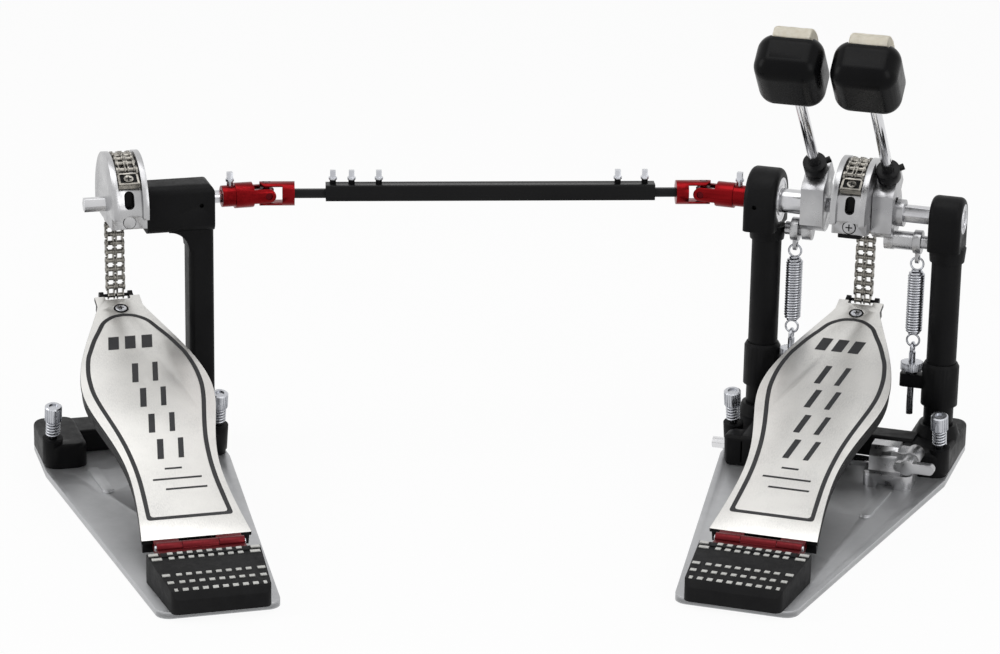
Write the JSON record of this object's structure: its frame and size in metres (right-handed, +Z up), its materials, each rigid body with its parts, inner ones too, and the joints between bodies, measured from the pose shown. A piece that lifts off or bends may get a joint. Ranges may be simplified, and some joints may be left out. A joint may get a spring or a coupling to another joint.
{
  "type": "bass drum pedal",
  "caption": "Double bass drum pedal: a main pedal with two beaters, chain-driven cams, return springs and a hoop clamp, joined by a telescoping shaft with universal joints to a second pedal.",
  "frame": {"origin": "on the floor, under the middle of the main pedal's axle", "axes": "+X along the main axle to the player's right, +Y toward the drum, +Z up"},
  "size_m": [0.6172, 0.4929, 0.3234],
  "materials": {
    "base_metal": "satin plate on black rubber",
    "black_casting": "fine-textured satin black",
    "heel_rubber": "matt",
    "red_anodised": "red anodised",
    "brushed_plate": "brushed along its length",
    "black_tray": "satin black",
    "nickel_chain": "nickel plated",
    "cast_aluminium": "cast, satin",
    "steel": "zinc plated",
    "black_steel": "black oxide",
    "chrome": "polished",
    "beater_plastic": "satin black",
    "felt": "hard felt"
  },
  "bodies": {
    "main_frame": {"main_base_plate": "base_metal", "main_base_casting": "black_casting", "main_posts": "black_casting", "main_left_housing": "black_casting", "main_right_housing": "black_casting", "main_heel_block": "heel_rubber", "main_heel_hinge": "red_anodised", "main_bearings": "steel", "spring_brackets": "black_casting", "clamp_foot": "cast_aluminium"},
    "main_footboard": {"main_footboard_plate": "brushed_plate", "main_footboard_tray": "black_tray"},
    "main_chain_run": {"main_chain_run": "nickel_chain"},
    "main_chain_pair_1": {"main_chain_pair_1": "nickel_chain"},
    "main_chain_pair_2": {"main_chain_pair_2": "nickel_chain"},
    "main_axle": {"main_axle": "steel", "main_cam": "cast_aluminium", "right_hub": "cast_aluminium", "main_chain_wrap": "nickel_chain"},
    "left_shaft": {"left_shaft": "steel", "left_hub": "cast_aluminium", "main_outer_yoke": "red_anodised"},
    "right_rocker": {"right_rocker": "cast_aluminium"},
    "right_spring": {"right_spring": "steel"},
    "left_rocker": {"left_rocker": "cast_aluminium"},
    "left_spring": {"left_spring": "steel"},
    "right_tension_nut": {"right_tension_nut": "black_casting"},
    "left_tension_nut": {"left_tension_nut": "black_casting"},
    "right_beater": {"right_memory_collar": "black_steel", "right_beater_rod": "chrome", "right_beater_head": "beater_plastic", "right_beater_felt": "felt"},
    "left_beater": {"left_memory_collar": "black_steel", "left_beater_rod": "chrome", "left_beater_head": "beater_plastic", "left_beater_felt": "felt"},
    "clamp_wing": {"clamp_wing": "cast_aluminium"},
    "clamp_jaw": {"clamp_jaw": "black_casting"},
    "main_left_spur": {"main_left_spur": "steel"},
    "main_right_spur": {"main_right_spur": "steel"},
    "main_cross": {"main_cross": "steel"},
    "drive_tube": {"drive_tube": "black_steel", "main_drive_rod": "black_steel"},
    "slave_frame": {"slave_base_plate": "base_metal", "slave_base_casting": "black_casting", "slave_heel_block": "heel_rubber", "slave_heel_hinge": "red_anodised"},
    "slave_rod": {"slave_drive_rod": "black_steel"},
    "slave_cross": {"slave_cross": "steel"},
    "slave_axle": {"slave_axle": "steel", "slave_cam": "cast_aluminium", "slave_chain_wrap": "nickel_chain", "slave_outer_yoke": "red_anodised"},
    "slave_footboard": {"slave_footboard_plate": "brushed_plate", "slave_footboard_tray": "black_tray"},
    "slave_chain_run": {"slave_chain_run": "nickel_chain"},
    "slave_chain_pair_1": {"slave_chain_pair_1": "nickel_chain"},
    "slave_chain_pair_2": {"slave_chain_pair_2": "nickel_chain"},
    "slave_left_spur": {"slave_left_spur": "steel"},
    "slave_right_spur": {"slave_right_spur": "steel"}
  },
  "joints": [
    {"name": "right_beater_swing", "type": "hinge", "parent": "main_frame", "child": "main_axle", "pos_m": [0, 0, 0.179], "axis": [-1, 0, 0], "range_deg": [0, 44.38], "stiffness_Nm_per_rad": 0.7, "springref_deg": -28.65},
    {"name": "left_beater_swing", "type": "hinge", "parent": "main_frame", "child": "left_shaft", "pos_m": [0, 0, 0.179], "axis": [-1, 0, 0], "range_deg": [0, 42.85], "stiffness_Nm_per_rad": 0.7, "springref_deg": -28.65},
    {"name": "main_footboard_press", "type": "hinge", "parent": "main_frame", "child": "main_footboard", "pos_m": [0, -0.2526, 0.0233], "axis": [-1, 0, 0], "range_deg": [0, 5.07]},
    {"name": "main_chain_run_swing", "type": "hinge", "parent": "main_footboard", "child": "main_chain_run", "pos_m": [0, 0.03077, 0.10284], "axis": [1, 0, 0], "range_deg": [0, 8.83]},
    {"name": "main_chain_pair_1_fold", "type": "hinge", "parent": "main_chain_run", "child": "main_chain_pair_1", "pos_m": [0, 0.033, 0.179], "axis": [-1, 0, 0], "range_deg": [0, 12.77], "deforming": ["main_chain_pair_1"]},
    {"name": "main_chain_pair_2_fold", "type": "hinge", "parent": "main_chain_pair_1", "child": "main_chain_pair_2", "pos_m": [0, 0.03056, 0.19146], "axis": [-1, 0, 0], "range_deg": [0, 22.19], "deforming": ["main_chain_pair_2"]},
    {"name": "slave_footboard_press", "type": "hinge", "parent": "slave_frame", "child": "slave_footboard", "pos_m": [-0.33451, -0.38122, 0.0233], "axis": [-0.8231, -0.5678, 0], "range_deg": [0, 5.07]},
    {"name": "slave_chain_run_swing", "type": "hinge", "parent": "slave_footboard", "child": "slave_chain_run", "pos_m": [-0.49542, -0.14796, 0.10284], "axis": [0.8231, 0.5678, 0], "range_deg": [0, 8.83]},
    {"name": "slave_chain_pair_1_fold", "type": "hinge", "parent": "slave_chain_run", "child": "slave_chain_pair_1", "pos_m": [-0.49668, -0.14613, 0.179], "axis": [-0.8231, -0.5678, 0], "range_deg": [0, 12.77], "deforming": ["slave_chain_pair_1"]},
    {"name": "slave_chain_pair_2_fold", "type": "hinge", "parent": "slave_chain_pair_1", "child": "slave_chain_pair_2", "pos_m": [-0.4953, -0.14814, 0.19146], "axis": [-0.8231, -0.5678, 0], "range_deg": [0, 22.19], "deforming": ["slave_chain_pair_2"]},
    {"name": "linkage_length", "type": "slide", "parent": "main_frame", "child": "slave_frame", "axis": [-0.9259, -0.3778, 0], "range_m": [-0.02, 0.08]},
    {"name": "slave_axle_turn", "type": "hinge", "parent": "slave_frame", "child": "slave_axle", "pos_m": [-0.47794, -0.17329, 0.179], "axis": [-0.8231, -0.5678, 0], "range_deg": [0, 44.38]},
    {"name": "drive_tube_turn", "type": "hinge", "parent": "main_frame", "child": "drive_tube", "pos_m": [-0.1111, 0, 0.179], "axis": [-0.9259, -0.3778, 0], "range_deg": [0, 45.05]},
    {"name": "slave_rod_turn", "type": "hinge", "parent": "slave_frame", "child": "slave_rod", "pos_m": [-0.39423, -0.11554, 0.179], "axis": [-0.9259, -0.3778, 0], "range_deg": [0, 45.05]},
    {"name": "main_cross_tilt", "type": "hinge", "parent": "left_shaft", "child": "main_cross", "pos_m": [-0.1111, 0, 0.179], "axis": [0, -1, 0], "range_deg": [0, 15.51]},
    {"name": "slave_cross_tilt", "type": "hinge", "parent": "slave_axle", "child": "slave_cross", "pos_m": [-0.39423, -0.11554, 0.179], "axis": [-0.5678, 0.8231, 0], "range_deg": [0, 8.74]},
    {"name": "right_rocker_swing", "type": "hinge", "parent": "main_axle", "child": "right_rocker", "pos_m": [0.0434, 0, 0.1595], "axis": [1, 0, 0], "range_deg": [0, 53.97]},
    {"name": "right_spring_stretch", "type": "slide", "parent": "right_rocker", "child": "right_spring", "axis": [0, 0, -1], "range_m": [0, 0.00671], "deforming": ["right_spring"]},
    {"name": "right_spring_tension", "type": "hinge", "parent": "main_frame", "child": "right_tension_nut", "pos_m": [0.0434, 0, 0.068], "axis": [0, 0, 1], "continuous": true},
    {"name": "right_beater_height", "type": "slide", "parent": "main_axle", "child": "right_beater", "axis": [0, -0.682, 0.7314], "range_m": [0, 0.025]},
    {"name": "left_rocker_swing", "type": "hinge", "parent": "left_shaft", "child": "left_rocker", "pos_m": [-0.0434, 0, 0.1595], "axis": [1, 0, 0], "range_deg": [0, 52.23]},
    {"name": "left_spring_stretch", "type": "slide", "parent": "left_rocker", "child": "left_spring", "axis": [0, 0, -1], "range_m": [0, 0.00629], "deforming": ["left_spring"]},
    {"name": "left_spring_tension", "type": "hinge", "parent": "main_frame", "child": "left_tension_nut", "pos_m": [-0.0434, 0, 0.068], "axis": [0, 0, 1], "continuous": true},
    {"name": "left_beater_height", "type": "slide", "parent": "left_shaft", "child": "left_beater", "axis": [0, -0.682, 0.7314], "range_m": [0, 0.025]},
    {"name": "clamp_wing_turn", "type": "hinge", "parent": "main_frame", "child": "clamp_wing", "pos_m": [0.06, -0.06, 0.0245], "axis": [0, -1, 0], "range_deg": [0, 720]},
    {"name": "clamp_jaw_open", "type": "hinge", "parent": "main_frame", "child": "clamp_jaw", "pos_m": [0, -0.06, 0.017], "axis": [1, 0, 0], "range_deg": [0, 10]},
    {"name": "main_left_spur_lift", "type": "slide", "parent": "main_frame", "child": "main_left_spur", "axis": [0, -0.2419, 0.9703], "range_m": [0, 0.01]},
    {"name": "main_right_spur_lift", "type": "slide", "parent": "main_frame", "child": "main_right_spur", "axis": [0, -0.2419, 0.9703], "range_m": [0, 0.01]},
    {"name": "slave_left_spur_lift", "type": "slide", "parent": "slave_frame", "child": "slave_left_spur", "axis": [0.1374, -0.1991, 0.9703], "range_m": [0, 0.01]},
    {"name": "slave_right_spur_lift", "type": "slide", "parent": "slave_frame", "child": "slave_right_spur", "axis": [0.1374, -0.1991, 0.9703], "range_m": [0, 0.01]}
  ],
  "couplings": [
    {"joint": "main_footboard_press", "follows": "right_beater_swing", "ratio": 0.1143},
    {"joint": "main_chain_run_swing", "follows": "right_beater_swing", "ratio": 0.19904},
    {"joint": "main_chain_pair_1_fold", "follows": "right_beater_swing", "ratio": 0.28778},
    {"joint": "main_chain_pair_2_fold", "follows": "right_beater_swing", "ratio": 0.5},
    {"joint": "slave_footboard_press", "follows": "left_beater_swing", "ratio": 0.11838},
    {"joint": "slave_chain_run_swing", "follows": "left_beater_swing", "ratio": 0.20614},
    {"joint": "slave_chain_pair_1_fold", "follows": "left_beater_swing", "ratio": 0.29805},
    {"joint": "slave_chain_pair_2_fold", "follows": "left_beater_swing", "ratio": 0.51783},
    {"joint": "slave_axle_turn", "follows": "left_beater_swing", "ratio": 1.0357},
    {"joint": "drive_tube_turn", "follows": "left_beater_swing", "ratio": 1.0514},
    {"joint": "slave_rod_turn", "follows": "left_beater_swing", "ratio": 1.0514},
    {"joint": "main_cross_tilt", "follows": "left_beater_swing", "ratio": 0.36199},
    {"joint": "slave_cross_tilt", "follows": "left_beater_swing", "ratio": 0.20401},
    {"joint": "right_rocker_swing", "follows": "right_beater_swing", "ratio": 1.2162},
    {"joint": "right_spring_stretch", "follows": "right_beater_swing", "m_per_rad": 0.0086596},
    {"joint": "left_rocker_swing", "follows": "left_beater_swing", "ratio": 1.2188},
    {"joint": "left_spring_stretch", "follows": "left_beater_swing", "m_per_rad": 0.0084123},
    {"joint": "clamp_jaw_open", "follows": "clamp_wing_turn", "ratio": 0.013889}
  ]
}
